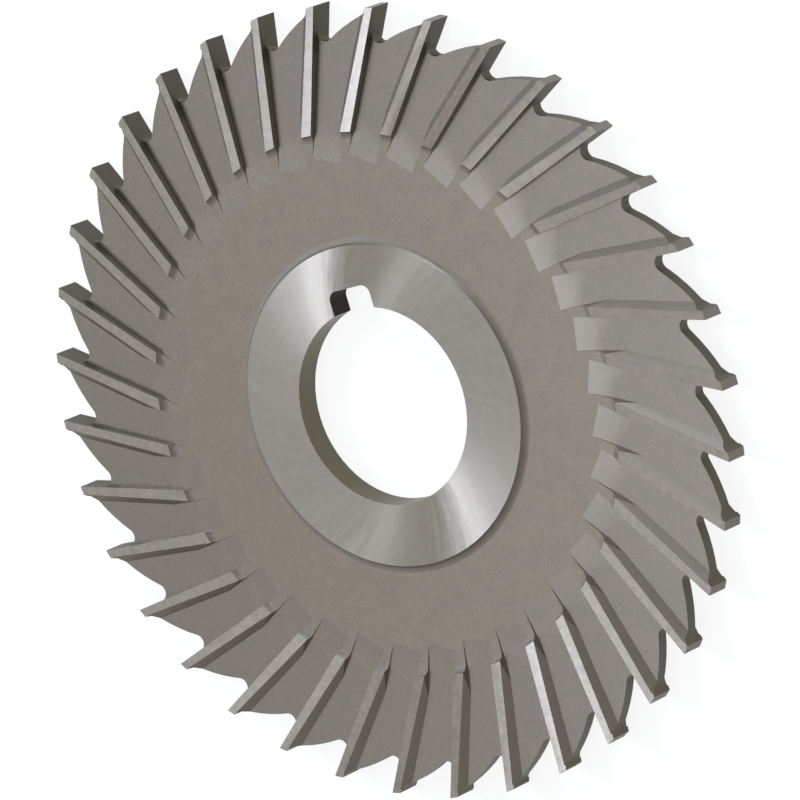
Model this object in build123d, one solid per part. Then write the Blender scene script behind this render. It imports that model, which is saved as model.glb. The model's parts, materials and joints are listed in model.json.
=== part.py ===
from build123d import *
import os
from math import atan, cos, radians, sin, sqrt, tan

# Side milling cutter, milled and ground from one piece of high-speed steel.
# Lengths are in millimetres and angles in degrees. The cutter lies flat: +Z is the
# bore axis, the origin is the centre of the bore in the plane that the cutter
# rests on, and +Y runs through the middle of the keyway. Both faces are the same,
# mirrored about the middle of the width, and seen from above the teeth face clockwise.

# Blank
outside_diameter = 101.6
face_width = 3.572
bore_diameter = 25.4
hub_diameter = 41.275
side_tooth_start_diameter = 69.85
web_recess = 0.55
recess_corner_width = 0.95
recess_corner_steps = 3

# Keyway
keyway_width = 6.35
keyway_depth = 2.64
keyway_corner_radius = 1.19

# Peripheral teeth
tooth_count = 36
tooth_phase = 1.5
radial_rake = 13.3
tooth_depth = 6.3
gullet_radius = 1.1
tip_land = 1.15
tip_relief = 7.0
heel_width = 0.4
heel_drop = 0.8
heel_radius = 0.6
back_bulge = 0.55

# Side teeth
land_width_at_tip = 1.0
land_width_at_start = 1.42
land_back_slope = 44.0
gash_depth_at_tip = 0.98
gash_below_web = 0.2
floor_rise = 0.3
gash_width = 4.15
gash_side_slope = 70.0
runout_length = 5.2
runout_reach = 2.2
runout_steps = 3

# Sizes that follow from these
outside_radius = outside_diameter / 2
root_radius = outside_radius - tooth_depth
bore_radius = bore_diameter / 2
hub_radius = hub_diameter / 2
side_tooth_start = side_tooth_start_diameter / 2
pitch = 360 / tooth_count
overcut = 0.5
middle_plane = Plane.XY.offset(face_width / 2)
UP = Vector(0, 0, 1)

# The reference tooth has its tip on +Y. Its rake face is the upright plane that
# holds the tip and leans back from the radius by the rake angle.
rake_offset = outside_radius * sin(radians(radial_rake))
rake_outward = Vector(sin(radians(radial_rake)), cos(radians(radial_rake)))
rake_normal = Vector(cos(radians(radial_rake)), -sin(radians(radial_rake)))


def rake_point(radius, behind=0.0):
    """Point at this radius on the rake face in plan, moved back into the tooth."""
    along = sqrt(radius**2 - rake_offset**2)
    return rake_outward * along - rake_normal * (rake_offset + behind)


def tip_land_end():
    """Plan point where the relieved land behind the tip ends."""
    relief = radians(tip_relief)
    return rake_point(outside_radius) + Vector(-cos(relief), -sin(relief)) * tip_land


def heel_point():
    """Plan point at the foot of the step behind the tip land."""
    return tip_land_end() + Vector(-heel_width, -heel_drop)


def tooth_outline():
    """Plan of one tooth, from its tip over its back to the tip of the tooth behind."""
    root = rake_point(root_radius).rotate(Axis.Z, pitch)
    return [
        Line(rake_point(outside_radius), tip_land_end()),
        Line(tip_land_end(), heel_point()),
        SagittaArc(heel_point(), root, -back_bulge),
        Line(root, rake_point(outside_radius).rotate(Axis.Z, pitch)),
    ]


def corners_at(plan, radius):
    """Corners of a plan that lie at this radius."""
    return plan.vertices().filter_by(lambda corner: abs(Vector(corner).length - radius) < 0.01)


def toothed_disc():
    """Full-width disc with the peripheral teeth."""
    outline = []
    for tooth in range(tooth_count):
        turn = Rotation(0, 0, tooth * pitch)
        outline += [turn * edge for edge in tooth_outline()]
    plan = make_face(outline)
    plan = fillet(corners_at(plan, root_radius), gullet_radius)
    plan = fillet(corners_at(plan, heel_point().length), heel_radius)
    return extrude(Rotation(0, 0, tooth_phase) * plan, face_width)


def bore_and_keyway():
    """Round bore with its keyway, cut right through."""
    slot_length = bore_radius + keyway_depth
    slot = Pos(0, slot_length / 2) * Rectangle(keyway_width, slot_length)
    slot_end = slot.vertices().sort_by(Axis.Y)[-2:]
    slot = fillet(slot_end, keyway_corner_radius)
    return extrude(Circle(bore_radius) + slot, face_width)


def recess_corner():
    """Points down a round corner in short flats, as distance from its edge and depth."""
    radius = (recess_corner_width**2 + web_recess**2) / (2 * web_recess)
    steepest = 2 * atan(web_recess / recess_corner_width)
    points = []
    for step in range(recess_corner_steps + 1):
        slope = steepest * (1 - step / recess_corner_steps)
        points.append((recess_corner_width - radius * sin(slope), web_recess - radius * (1 - cos(slope))))
    return points


def web_recess_ring():
    """Ring cut from the upper face between the hub and the side teeth."""
    inner = [(hub_radius + width, face_width - depth) for width, depth in recess_corner()]
    outer = [(side_tooth_start - width, face_width - depth) for width, depth in recess_corner()]
    top = face_width + overcut
    profile = Polyline((hub_radius, top), *inner, *reversed(outer), (side_tooth_start, top), close=True)
    return revolve(Plane.XZ * make_face(profile), Axis.Z)


def side_gash():
    """Block that cuts the gash in front of the reference tooth in the upper face."""
    tooth_start = rake_point(side_tooth_start) + UP * face_width
    reach = (rake_point(outside_radius) - rake_point(side_tooth_start)).length
    start_depth = web_recess + gash_below_web
    floor_fall = (gash_depth_at_tip - start_depth) / reach

    # Seen along the rake face, the floor runs out to the web in the arc of the cutter
    # that milled it, drawn as a few short flats.
    runout_end = Vector(runout_reach, -start_depth - floor_fall * runout_reach)
    web_edge = Vector(runout_reach - runout_length, -web_recess)
    arc = TangentArc(runout_end, web_edge, tangent=(-1, floor_fall))
    runout = [arc @ (step / runout_steps) for step in range(runout_steps + 1)]
    outer_end = reach + overcut
    bottom = -2 * gash_depth_at_tip
    corners = [(web_edge.X, overcut), (outer_end, overcut), (outer_end, bottom), (runout_end.X, bottom)]
    profile = make_face(Polyline(*runout, *corners, close=True))
    side_view = Plane(tooth_start, x_dir=rake_outward, z_dir=rake_normal)
    block = extrude(side_view * profile, outside_radius / 2)

    # The floor falls from the first side of the land to the tip, and climbs a little
    # away from the rake face.
    start_foot = tooth_start - UP * start_depth
    along = rake_outward - UP * floor_fall
    across = rake_normal + UP * tan(radians(floor_rise))
    block = split(block, Plane(start_foot, z_dir=across.cross(along)), keep=Keep.TOP)

    # The far side of the gash is steep and runs along the rake face.
    side_slope = radians(gash_side_slope)
    far_foot = start_foot + rake_normal * gash_width
    far_side = Plane(far_foot, z_dir=UP * cos(side_slope) - rake_normal * sin(side_slope))

    # Further out, the gash widens up to the land of the next tooth, where the face
    # slopes down behind the land.
    land_start = rake_point(side_tooth_start, land_width_at_start).rotate(Axis.Z, -pitch)
    land_tip = rake_point(outside_radius, land_width_at_tip).rotate(Axis.Z, -pitch)
    downhill = (land_start - land_tip).cross(UP).normalized()
    back_slope = radians(land_back_slope)
    land_back = Plane(land_tip + UP * face_width, z_dir=downhill * sin(back_slope) + UP * cos(back_slope))
    return split(block, far_side, keep=Keep.TOP) + split(block, land_back, keep=Keep.TOP)


cutter = toothed_disc() - bore_and_keyway()
ring = web_recess_ring()
gash = side_gash()
gashes = [Rotation(0, 0, tooth_phase + tooth * pitch) * gash for tooth in range(tooth_count)]
cutter = cutter - ring - ring.mirror(middle_plane)
cutter = cutter - gashes
cutter = cutter - [gash.mirror(middle_plane) for gash in gashes]

os.makedirs("parts", exist_ok=True)
export_step(cutter, "parts/side_milling_cutter.step")
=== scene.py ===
# %% [markdown]
# # A side milling cutter, dressed for its picture
#
# The cutter is one piece of high-speed steel: a thin disc with cutting teeth round its rim
# and on both faces. The imported model already has every tooth and gash at its real size.
# What Blender adds is what the machining left on each surface: bright ground lines on the
# hub and the lands and a dull mottled grey on the web and in the gashes, and painted shade
# that makes the upright walls dark.

# %% Load the imported model
import json
import math

import bpy
from mathutils import Matrix, Vector

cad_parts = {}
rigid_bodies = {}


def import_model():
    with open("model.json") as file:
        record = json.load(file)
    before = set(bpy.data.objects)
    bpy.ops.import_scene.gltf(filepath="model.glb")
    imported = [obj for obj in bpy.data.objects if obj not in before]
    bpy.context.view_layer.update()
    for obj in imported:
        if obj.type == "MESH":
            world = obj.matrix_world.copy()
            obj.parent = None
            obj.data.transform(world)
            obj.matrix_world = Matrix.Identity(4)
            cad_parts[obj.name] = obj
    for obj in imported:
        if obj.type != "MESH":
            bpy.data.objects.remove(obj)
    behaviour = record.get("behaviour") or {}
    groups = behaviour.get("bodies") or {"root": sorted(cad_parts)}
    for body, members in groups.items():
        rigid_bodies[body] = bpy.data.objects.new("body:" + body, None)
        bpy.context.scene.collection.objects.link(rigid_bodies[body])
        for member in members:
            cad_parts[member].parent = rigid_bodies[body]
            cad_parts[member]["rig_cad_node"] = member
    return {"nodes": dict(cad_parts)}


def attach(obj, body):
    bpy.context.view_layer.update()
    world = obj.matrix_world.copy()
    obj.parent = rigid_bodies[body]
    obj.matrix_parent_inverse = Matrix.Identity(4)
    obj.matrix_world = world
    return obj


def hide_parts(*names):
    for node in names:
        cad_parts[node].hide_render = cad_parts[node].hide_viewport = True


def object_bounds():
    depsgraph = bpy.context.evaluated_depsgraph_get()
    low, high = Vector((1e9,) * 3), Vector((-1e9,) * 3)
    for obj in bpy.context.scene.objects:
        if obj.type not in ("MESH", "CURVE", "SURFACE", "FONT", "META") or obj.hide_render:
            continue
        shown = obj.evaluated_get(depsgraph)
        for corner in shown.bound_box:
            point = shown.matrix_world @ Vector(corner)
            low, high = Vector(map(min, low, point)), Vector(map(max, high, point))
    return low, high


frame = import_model()
cad_low, cad_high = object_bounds()
cad_cutter = frame["nodes"]["side_milling_cutter"]
MM = 0.001
face_height = cad_high.z
print("nodes:", sorted(frame["nodes"]), "size in mm:", [round(n / MM, 3) for n in cad_high - cad_low])

# %% [markdown]
# ## Camera
#
# The photograph shows the cutter from the front and well to one side, through a long lens
# from a little under a metre away. Here the cutter lies flat, as it would come to rest, so
# the camera looks down on it and is rolled until the keyway stands where the photograph has
# it. A camera is easiest to place by the point it looks at, the direction it stands in and
# its roll, and those three are the values below.

# %% Camera
camera_aim = Vector((1.569, 0.080, 1.786)) * MM
camera_azimuth = math.radians(7.689)
camera_elevation = math.radians(52.302)
camera_roll = math.radians(-112.741)
camera_distance = 904.595 * MM


def direction(azimuth, elevation):
    """Unit vector towards an azimuth from +X and an elevation from the floor, in radians."""
    flat = math.cos(elevation)
    return Vector((math.cos(azimuth) * flat, math.sin(azimuth) * flat, math.sin(elevation)))


def facing(outward, roll):
    """Rotation of a camera or lamp that stands in this direction and looks back, rolled."""
    return outward.to_track_quat("Z", "Y") @ Matrix.Rotation(roll, 3, "Z").to_quaternion()


outward = direction(camera_azimuth, camera_elevation)
bpy.ops.object.camera_add(location=camera_aim + outward * camera_distance)
camera = bpy.context.active_object
camera.name = "camera"
camera.rotation_mode = "QUATERNION"
camera.rotation_quaternion = facing(outward, camera_roll)
camera.data.sensor_width = 36
camera.data.lens = 326.531
camera.data.clip_start = 0.05
camera.data.clip_end = 20
bpy.context.scene.camera = camera
print("camera stands at", [round(n, 4) for n in camera.location])

# %% [markdown]
# ## One closed skin
#
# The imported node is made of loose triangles, so its mesh is left as it is and a copy is
# worked on. Merging the points that lie on each other closes the skin. Dissolving the lines
# inside flat areas then leaves each flat of the cutter as one face, which can be told apart
# by where it lies and which way it looks.

# %% Copy the node and close its skin
bpy.ops.object.select_all(action="DESELECT")
cad_cutter.select_set(True)
bpy.context.view_layer.objects.active = cad_cutter
bpy.ops.object.duplicate()
cutter = bpy.context.active_object
cutter.name = "cutter_finished"
del cutter["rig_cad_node"]

merge_distance = 0.001 * MM
flat_angle = math.radians(0.3)
bpy.ops.object.mode_set(mode="EDIT")
bpy.ops.mesh.select_all(action="SELECT")
bpy.ops.mesh.remove_doubles(threshold=merge_distance)
bpy.ops.mesh.dissolve_limited(angle_limit=flat_angle)
bpy.ops.object.mode_set(mode="OBJECT")
skin = cutter.data
print("closed skin:", len(skin.vertices), "points,", len(skin.polygons), "faces")

# %% [markdown]
# ## Which face is which
#
# Each surface of the cutter was made by its own operation, and so has its own finish: the
# hub and the lands were ground, the web and its round corners were turned, the gashes and
# the teeth were milled, the bore was reamed and the keyway broached. Painting the faces one
# by one would be slow and would break when the model changes. Here a few comparisons of
# tilt, depth and distance from the axis name them all, and each face gets the number of its
# finish as its material slot.

# %% Where each finish begins
FINISHES = [
    "turned_web",
    "turned_shoulder",
    "turned_fillet",
    "turned_corner",
    "milled_gash",
    "milled_runout",
    "milled_gash_side",
    "milled_land_back",
    "milled_wall",
    "milled_back",
    "ground_hub",
    "ground_land",
    "ground_tip",
    "reamed_bore",
    "broached_keyway",
]
web_depth = 0.55 * MM
hair = 0.01 * MM

# Distances from the axis. The reaches lie in between two kinds of face.
bore_radius = 12.7 * MM
keyway_reach = 17 * MM
hub_reach = 25 * MM
runout_reach = 38 * MM
tip_reach = 50.2 * MM

# Tilts in degrees from the flat of the disc, each the least that its kind of face has. The
# floor has a most instead, and the land back has both.
shoulder_tilt = 5
fillet_tilt = 20
corner_tilt = 40
gash_side_tilt = 65
upright_tilt = 80
most_floor_tilt = 8
land_back_tilts = (43, 46)

# How much a wall looks away from the axis, where 1 is straight away from it.
back_looks_out = 0.45
tip_looks_out = 0.9
print(len(FINISHES), "finishes to give out")

# %% [markdown]
# The lower face of the cutter mirrors the upper one, so a face's depth is measured from the
# nearer of the two, and one set of comparisons serves both.


# %% Name each face by its place
def tilt_of(face):
    """Angle in degrees between a face and the flat of the disc."""
    return math.degrees(math.acos(min(1, abs(face.normal.z))))


def upright_finish(face, radius):
    """Finish of a wall of the bore, the keyway or the rim."""
    if radius < keyway_reach:
        return "reamed_bore" if radius < bore_radius + hair else "broached_keyway"
    looks_out = Vector(face.center[:2]).normalized().dot(Vector(face.normal[:2]))
    if looks_out < back_looks_out:
        return "milled_wall"
    return "ground_tip" if radius > tip_reach and looks_out > tip_looks_out else "milled_back"


def finish_of(face):
    """Name of the finish that the machining left on a face of the cutter."""
    radius = Vector(face.center[:2]).length
    depth = min(face.center.z, face_height - face.center.z)
    tilt = tilt_of(face)
    if tilt > upright_tilt:
        return upright_finish(face, radius)
    if tilt > gash_side_tilt:
        return "milled_gash_side"
    if depth < hair:
        return "ground_hub" if radius < hub_reach else "ground_land"
    if depth > web_depth + hair and tilt < most_floor_tilt:
        return "milled_runout" if radius < runout_reach else "milled_gash"
    if land_back_tilts[0] < tilt < land_back_tilts[1]:
        return "milled_land_back"
    if tilt > fillet_tilt:
        return "turned_corner" if tilt > corner_tilt else "turned_fillet"
    return "turned_shoulder" if tilt > shoulder_tilt else "turned_web"


skin.materials.clear()
finishes = {}
for name in FINISHES:
    finishes[name] = bpy.data.materials.new(name)
    skin.materials.append(finishes[name])
for face in skin.polygons:
    face.material_index = FINISHES.index(finish_of(face))
for number, name in enumerate(FINISHES):
    same = [face for face in skin.polygons if face.material_index == number]
    print(f"{name}: {len(same)} faces, {sum(face.area for face in same) / MM**2:.0f} square mm")

# %% [markdown]
# ## Sharp and smooth
#
# The bore, the backs of the teeth and the run-outs of the gashes are curved, and the packed
# model draws them as short flats. The lines between those flats are shaded smooth. A round
# corner of the web is smooth only the way it runs round the axis, because across it the
# model has three flats that catch the light better when they stay apart. Every other line
# on a cutter is a true edge and stays sharp.

# %% Mark the edges
faces_at = {}
for face in skin.polygons:
    for key in face.edge_keys:
        faces_at.setdefault(key, []).append(face)

# Two flats of one curve turn by no more than this, and the flats round one ring tilt alike.
curved_turn = math.radians(26)
same_tilt = 5
walls = {"reamed_bore", "broached_keyway", "milled_wall", "milled_back"}
floors = {"milled_gash", "milled_runout"}
corners = {"turned_corner", "turned_fillet", "turned_shoulder", "turned_web"}


def is_curved(first, second):
    """Whether the line between two faces lies inside a curved surface."""
    names = {FINISHES[first.material_index], FINISHES[second.material_index]}
    if first.normal.angle(second.normal) > curved_turn:
        return False
    same_flat = abs(tilt_of(first) - tilt_of(second)) < same_tilt
    return names <= walls or names <= floors or (names <= corners and same_flat)


for edge in skin.edges:
    edge.use_edge_sharp = not is_curved(*faces_at[edge.key])
bpy.ops.object.shade_smooth()
print("smooth edges:", sum(not edge.use_edge_sharp for edge in skin.edges), "of", len(skin.edges))

# %% [markdown]
# ## Normals by area
#
# Smooth shading bends the light near a line, also on the large flat beside it. Weighting
# each normal by the area of its face keeps the large flats flat right up to the curve. The
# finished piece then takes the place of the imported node, and rides on the cutter's one body.

# %% Weight the normals and hand the piece over
weights = cutter.modifiers.new("flats_stay_flat", "WEIGHTED_NORMAL")
weights.keep_sharp = True
bpy.ops.object.modifier_apply(modifier=weights.name)

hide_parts("side_milling_cutter")
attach(cutter, "root")
print("triangles in the finished piece:", sum(len(face.vertices) - 2 for face in skin.polygons))

# %% [markdown]
# ## Two helpers for materials
#
# Colours are easiest to read as the hex values that a picture editor shows, but a shader
# wants linear light, so one function converts them. The other adds a node to a tree and
# sets or links its inputs in one line, which keeps each material short.


# %% Colour and node helpers
def linear(hex_colour):
    """The linear colour that a shader takes, from an sRGB hex value."""
    shares = [int(hex_colour[i : i + 2], 16) / 255 for i in (0, 2, 4)]
    return [s / 12.92 if s <= 0.04045 else ((s + 0.055) / 1.055) ** 2.4 for s in shares] + [1]


def add_node(tree, kind, inputs, **settings):
    """Adds a node to a tree, with its settings and with a value or a link for each input."""
    node = tree.nodes.new(kind)
    for name, value in settings.items():
        setattr(node, name, value)
    for name, value in inputs.items():
        if isinstance(value, bpy.types.NodeSocket):
            tree.links.new(value, node.inputs[name])
        else:
            node.inputs[name].default_value = value
    return node


print("hex 808080 is", round(linear("808080")[0], 3), "in linear light")

# %% [markdown]
# ## Arithmetic on places
#
# A shader works out the look of each point from its place. The place is taken in millimetres
# on the cutter, so every pattern below has a real size. The steps here are the ones that
# come back in each finish, such as the distance of a point from the axis.

# %% Steps with places and numbers
PER_MM = 1 / MM


def start_finish(name):
    """Clears a finish's node tree and gives it with the place on the cutter in mm."""
    finishes[name].use_nodes = True
    tree = finishes[name].node_tree
    tree.nodes.clear()
    place = add_node(tree, "ShaderNodeTexCoord", {}).outputs["Object"]
    return tree, scaled(tree, place, PER_MM)


def vector_math(tree, operation, *inputs):
    """The vector that one step of vector arithmetic gives."""
    inputs = dict(enumerate(inputs))
    return add_node(tree, "ShaderNodeVectorMath", inputs, operation=operation).outputs[0]


def product(tree, first, second):
    """One number times another."""
    return add_node(tree, "ShaderNodeMath", {0: first, 1: second}, operation="MULTIPLY").outputs[0]


def scaled(tree, vector, factor):
    """A place or a colour times a number."""
    inputs = {0: vector, "Scale": factor}
    return add_node(tree, "ShaderNodeVectorMath", inputs, operation="SCALE").outputs[0]


def from_axis(tree, place):
    """A place without its height, and its distance from the axis."""
    flat = vector_math(tree, "MULTIPLY", place, (1, 1, 0))
    length = add_node(tree, "ShaderNodeVectorMath", {0: flat}, operation="LENGTH")
    return flat, length.outputs["Value"]


def ramp(tree, value, start, end, low=0, high=1):
    """A value that goes from low to high while another goes from start to end."""
    inputs = {0: value, 1: start, 2: end, 3: low, 4: high}
    return add_node(tree, "ShaderNodeMapRange", inputs).outputs[0]


print("a point at the rim has the place", round(cad_high.x * PER_MM, 2), "in a finish")

# %% [markdown]
# ## Patterns
#
# A noise is a soft random pattern, and nearly all the unevenness of real steel can be drawn
# with it: spread between two values it makes a roughness uneven, blends two tints or shades
# a colour. A noise seldom leaves the middle of its range, so it is spread from there.

# %% Steps with patterns
noise_low, noise_high = 0.3, 0.7


def noise(tree, place, size=1, detail=2):
    """A noise with patches of about this size, finer patches in them where detail is high."""
    inputs = {"Vector": place, "Scale": 1 / size, "Detail": detail}
    return add_node(tree, "ShaderNodeTexNoise", inputs).outputs[0]


def spread(tree, pattern, low, high):
    """A noise spread out between two values."""
    return ramp(tree, pattern, noise_low, noise_high, low, high)


def blend(tree, share, first, second):
    """The first colour where the share is 0, the second where it is 1."""
    inputs = {0: share, 6: first, 7: second}
    return add_node(tree, "ShaderNodeMix", inputs, data_type="RGBA").outputs[2]


def shaded(tree, colour, pattern, contrast):
    """A colour made a little lighter and darker by a noise."""
    return scaled(tree, colour, spread(tree, pattern, 1 - contrast, 1 + contrast))


def finish_metal(tree, height, relief, inputs):
    """Ends a finish as bare metal, with a height pattern of this relief in mm."""
    bumps = {"Height": height, "Strength": 1, "Distance": relief * MM}
    normal = add_node(tree, "ShaderNodeBump", bumps).outputs[0]
    metal = {"Metallic": 1, "Normal": normal, **inputs}
    surface = add_node(tree, "ShaderNodeBsdfPrincipled", metal).outputs[0]
    add_node(tree, "ShaderNodeOutputMaterial", {"Surface": surface})


print("noises are spread from", noise_low, "to", noise_high)

# %% [markdown]
# ## Bare steel
#
# High-speed steel is a metal with no paint on it, so every finish is fully metallic and
# takes its colour from how it was cut and heat-treated, while the colours of its steep and
# upright faces also hold painted shade. Hardening leaves thin oxide films that drift
# between two close warm greys over a few millimetres, which is drawn as soft blotches. The
# grain of the cut is finer than a pixel, so it is drawn 0.4 mm wide, just coarse enough to
# show as a faint tooth.
#
# The web was turned and then left as hardened, a warm grey that shines a little. The floors
# of the gashes are the same grey. Beside the hub and the lands the web ends in a round
# corner, whose flats the tool left duller as they steepen; they are also painted darker as
# they steepen, the steepest much darker, as painted shade along the foot of the hub and the
# lands. The steep sides of the gashes, the slopes behind the lands, and the rake walls and
# backs of the teeth are painted dark, as painted shade, and the rake walls are painted
# lighter nearer the axis, as painted light. The bore was reamed and lightly honed and is
# painted dark, and the keyway was broached and is painted almost black, both as painted
# shade. Only the tips of the teeth were ground after hardening, so they are the lightest of
# the upright faces.

# %% Finishes without a direction
blotch_size = 3.0
blotch_detail = 1.5
grain_size = 0.4
grain_relief = 0.0004
grain_contrast = 0.02

# The rake walls are painted lighter up to this distance from the axis, in mm, as painted
# light, and darker past it, as painted shade.
inner_reach = 45
inner_blend = 1


def blotched(tree, place, tints):
    """Two close tints in soft blotches, as hardened steel has."""
    share = spread(tree, noise(tree, place, blotch_size, blotch_detail), 0, 1)
    return blend(tree, share, linear(tints[0]), linear(tints[1]))


def bare_steel(name, tints, roughness, inner_painted_light_tints=None):
    """A finish that is equally dull every way, with lighter tints of painted light further in if it
    has any.
    """
    tree, place = start_finish(name)
    tint = blotched(tree, place, tints)
    if inner_painted_light_tints:
        radius = from_axis(tree, place)[1]
        share = ramp(tree, radius, inner_reach - inner_blend, inner_reach + inner_blend)
        tint = blend(tree, share, blotched(tree, place, inner_painted_light_tints), tint)
    grain = noise(tree, place, grain_size)
    inputs = {
        "Base Color": shaded(tree, tint, grain, grain_contrast),
        "Roughness": spread(tree, grain, roughness - grain_contrast, roughness + grain_contrast),
    }
    finish_metal(tree, grain, grain_relief, inputs)
    print(f"{name}: tints {tints[0]} and {tints[1]}, roughness {roughness}")


bare_steel("turned_web", ("79746B", "7D766D"), 0.26)
bare_steel("turned_shoulder", ("77716A", "79736B"), 0.75)
bare_steel("turned_fillet", ("736D65", "756F67"), 0.75)
# The steepest flats of the round corner are painted dark, as painted shade along the foot of the hub
# and the lands.
bare_steel("turned_corner", ("635F57", "65605A"), 0.5)
bare_steel("milled_gash", ("75716A", "79726B"), 0.26)
bare_steel("milled_runout", ("78746C", "7C756E"), 0.26)
# The steep sides of the gashes, the slopes behind the lands and the backs of the teeth are painted
# dark, as painted shade.
bare_steel("milled_gash_side", ("6A6057", "6D635A"), 0.7)
bare_steel("milled_land_back", ("66615A", "69635B"), 0.52)
# The rake walls are painted dark as painted shade, and lighter towards the axis as painted light.
bare_steel("milled_wall", ("58554C", "5B584E"), 0.55, inner_painted_light_tints=("7D786E", "817C73"))
bare_steel("milled_back", ("5B574C", "5F5B50"), 0.5)
bare_steel("ground_tip", ("7F7B72", "847E76"), 0.7)
# The bore is painted dark and the keyway almost black, as painted shade.
bare_steel("reamed_bore", ("625E4C", "666154"), 0.4)
bare_steel("broached_keyway", ("2C2A20", "302D25"), 0.5)

# %% [markdown]
# ## Ground faces
#
# The hub and the lands were ground after hardening, and the wheel left fine lines on them.
# Such lines throw a lamp's light out sideways, across themselves, into the two bright fans
# that cross the hub. The shader's anisotropy does the same. It needs one direction at each
# point, the one across the lines. The cutter turned under the edge of a cup wheel, so the
# lines are arcs: they meet the circles round the axis at an angle, the turn below, that
# changes outwards by the twist. The wheel stood slightly off the axis too: that is the lean.
# The lines also wander by a few degrees in streaks, which frays the edges of the fans, and a
# faint mottle breaks the light on them. They are far finer than a pixel, so they are drawn
# 0.4 mm apart, coarse enough to show as faint rings.

# %% Lines that the wheel left
lean_azimuth = math.radians(29.7)
twist_span = 10
line_spacing = 0.4
line_length = 7
line_relief = 0.001
line_contrast = 0.02

# Streaks run outwards from the bore, this many to a radian, and change a little for each mm.
streaks_per_radian = 28
streak_change = 0.15
streak_detail = 3
streak_contrast = 0.04
mottle_size = 0.9


def turned(tree, vector, angle):
    """A vector turned about the bore axis."""
    inputs = {"Vector": vector, "Angle": angle}
    return add_node(tree, "ShaderNodeVectorRotate", inputs, rotation_type="Z_AXIS").outputs[0]


def across_lines(tree, place, middle, turn, twist, lean, wander):
    """Direction across the ground lines, and the streaks that the wheel left.

    The turn is in degrees at the middle radius in mm, and the twist in degrees for each mm.
    """
    flat, radius = from_axis(tree, place)
    away = direction(lean_azimuth, 0) * lean / middle
    leant = vector_math(tree, "SUBTRACT", flat, scaled(tree, away, product(tree, radius, radius)))
    least, most = (math.radians(turn + side * twist * twist_span) for side in (-1, 1))
    angle = ramp(tree, radius, middle - twist_span, middle + twist_span, least, most)
    steady = turned(tree, leant, angle)
    aim = vector_math(tree, "NORMALIZE", steady)
    fan_out = scaled(tree, aim, streaks_per_radian)
    where = vector_math(tree, "ADD", fan_out, scaled(tree, place, streak_change))
    streaks = noise(tree, where, detail=streak_detail)
    drift = spread(tree, streaks, -math.radians(wander), math.radians(wander))
    return turned(tree, steady, drift), streaks


def ring_lines(tree, place):
    """Height of fine lines round the axis, each only a few millimetres long."""
    slow = vector_math(tree, "MULTIPLY", place, (1 / line_length, 1 / line_length, 0))
    quick = product(tree, from_axis(tree, place)[1], 1 / line_spacing)
    stacked = add_node(tree, "ShaderNodeCombineXYZ", {"Z": quick}).outputs[0]
    return noise(tree, vector_math(tree, "ADD", slow, stacked))


print("ground lines are drawn", line_spacing, "mm apart and", line_length, "mm long")


# %% [markdown]
# The hub and the lands were ground in two settings of the wheel, so their lines run
# differently. In the photograph the lands are a little more mottled as well.


# %% Ground finishes
def ground_steel(name, tints, roughness, mottle, **run):
    """A finish of fine ground lines, bright across them."""
    tree, place = start_finish(name)
    across, streaks = across_lines(tree, place, **run)
    lines = ring_lines(tree, place)
    colour = shaded(tree, blotched(tree, place, tints), streaks, streak_contrast)
    colour = shaded(tree, colour, noise(tree, place, mottle_size), mottle)
    inputs = {
        "Base Color": shaded(tree, colour, lines, line_contrast),
        "Roughness": roughness,
        "Anisotropic": 1,
        "Tangent": across,
    }
    finish_metal(tree, lines, line_relief, inputs)
    print(f"{name}: lines {run['turn']} degrees off the circles, roughness {roughness}")


hub_lines = {"middle": 17, "turn": -14.9, "twist": 1.55, "lean": 0.104, "wander": 2.5}
land_lines = {"middle": 43, "turn": 6.5, "twist": 0.53, "lean": 0.344, "wander": 2}
ground_steel("ground_hub", ("87827A", "88837C"), 0.369, mottle=0.03, **hub_lines)
ground_steel("ground_land", ("88837A", "8B847C"), 0.397, mottle=0.09, **land_lines)

# %% [markdown]
# ## Floor
#
# The photograph has a plain white background. A steel surface also shows what lies round
# it, so the floor and the air are white to the camera and in reflections alike, while the
# light that they give stays lower. The floor is a matt paper with a share of its white as
# glow, so that the object still has a soft shadow on it.


# %% Floor
def seen_rays(tree):
    """One for camera, glossy and transmission rays, and nothing for the rest."""
    rays = add_node(tree, "ShaderNodeLightPath", {}).outputs
    either = {0: rays["Is Camera Ray"], 1: rays["Is Glossy Ray"]}
    seen = add_node(tree, "ShaderNodeMath", either, operation="MAXIMUM").outputs[0]
    any_of_all = {0: seen, 1: rays["Is Transmission Ray"]}
    return add_node(tree, "ShaderNodeMath", any_of_all, operation="MAXIMUM").outputs[0]


floor_size = 6
glow_share = 0.88
bpy.ops.object.select_all(action="DESELECT")
bpy.ops.mesh.primitive_plane_add(size=floor_size, location=(0, 0, 0))
floor = bpy.context.active_object
floor.name = "floor"
paper = bpy.data.materials.new("matt_paper")
paper.use_nodes = True
tree = paper.node_tree
tree.nodes.clear()
glow = {"Color": linear("FFFFFF"), "Strength": product(tree, seen_rays(tree), glow_share)}
paper_glow = add_node(tree, "ShaderNodeEmission", glow).outputs[0]
paper_face = add_node(tree, "ShaderNodeBsdfDiffuse", {"Color": linear("666665")}).outputs[0]
both = add_node(tree, "ShaderNodeAddShader", {0: paper_face, 1: paper_glow}).outputs[0]
add_node(tree, "ShaderNodeOutputMaterial", {"Surface": both})
floor.data.materials.append(paper)
print("floor:", floor_size, "m wide, with", glow_share, "of its white as glow")

# %% [markdown]
# ## World
#
# Past the floor the camera and every reflection see a world that is fully white, and for
# all other rays it gives less than half of that, which keeps the shadow side of the teeth
# from going pale.

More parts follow.
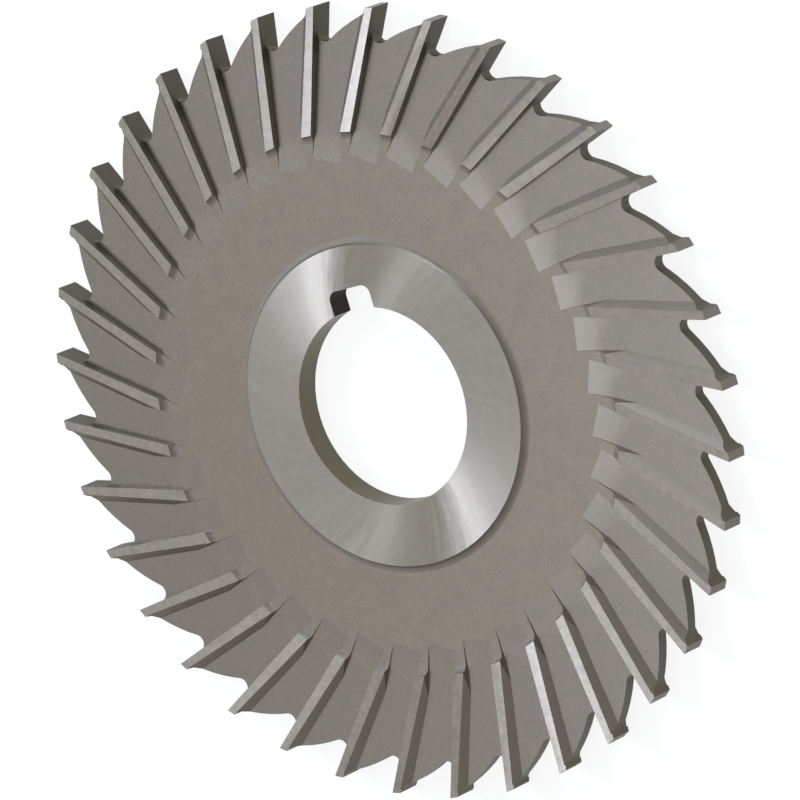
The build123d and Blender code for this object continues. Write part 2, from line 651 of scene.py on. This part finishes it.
# %% World
ambient_level = 0.45
world = bpy.data.worlds.new("studio")
bpy.context.scene.world = world
world.use_nodes = True
tree = world.node_tree
tree.nodes.clear()
level = ramp(tree, seen_rays(tree), 0, 1, ambient_level, 1)
air = add_node(tree, "ShaderNodeBackground", {"Color": linear("FFFFFF"), "Strength": level})
add_node(tree, "ShaderNodeOutputWorld", {"Surface": air.outputs[0]})
print("the air lights the cutter with", ambient_level, "of white")

# %% [markdown]
# ## Lamps
#
# The bright fans on the hub and the lands tell where the lamps stood: two soft boxes low on
# the left, one above the top of the picture and a large weak one overhead. Each is an area
# lamp aimed at the cutter. An area lamp's power depends on its size, so each is given here
# by how bright its face is, with 1 as white, and the power is worked out from that. Angles
# are in degrees, and all four lamps stand 1.5 m from the cutter.

# %% Lamps
LAMPS = [
    # name, azimuth, elevation, angle wide, angle tall, roll, brightness
    ("left_tall", 141.9, 31.5, 9.4, 28.0, -43, 16.8),
    ("left_wide", 150.5, 35.1, 23.7, 7.7, 4.5, 14.8),
    ("top", 76.7, 12.6, 18.9, 31.8, -6.1, 13.6),
    ("overhead", 202.1, 68.5, 54.3, 18.1, -22.8, 2.17),
]
lamp_distance = 1.5
lamp_colour = linear("E2EDFF")[:3]
lamp_share = sum(lamp_colour) / 3


def span_of(angle):
    """Width of a lamp that covers this angle, in degrees, seen from the cutter."""
    return 2 * lamp_distance * math.tan(math.radians(angle / 2))


for name, azimuth, elevation, wide, tall, roll, brightness in LAMPS:
    outward = direction(math.radians(azimuth), math.radians(elevation))
    bpy.ops.object.light_add(type="AREA", location=outward * lamp_distance)
    lamp = bpy.context.active_object
    lamp.name = name
    lamp.rotation_mode = "QUATERNION"
    lamp.rotation_quaternion = facing(outward, math.radians(roll))
    lamp.data.shape = "RECTANGLE"
    lamp.data.size = span_of(wide)
    lamp.data.size_y = span_of(tall)
    lamp.data.color = lamp_colour
    lamp.data.energy = brightness / lamp_share * math.pi * lamp.data.size * lamp.data.size_y
    print(f"{name}: {lamp.data.size:.2f} by {lamp.data.size_y:.2f} m, {lamp.data.energy:.1f} W")

# %% [markdown]
# ## View
#
# The Standard view shows colours about as they are written.

# %% Finish
bpy.context.scene.view_settings.view_transform = "Standard"
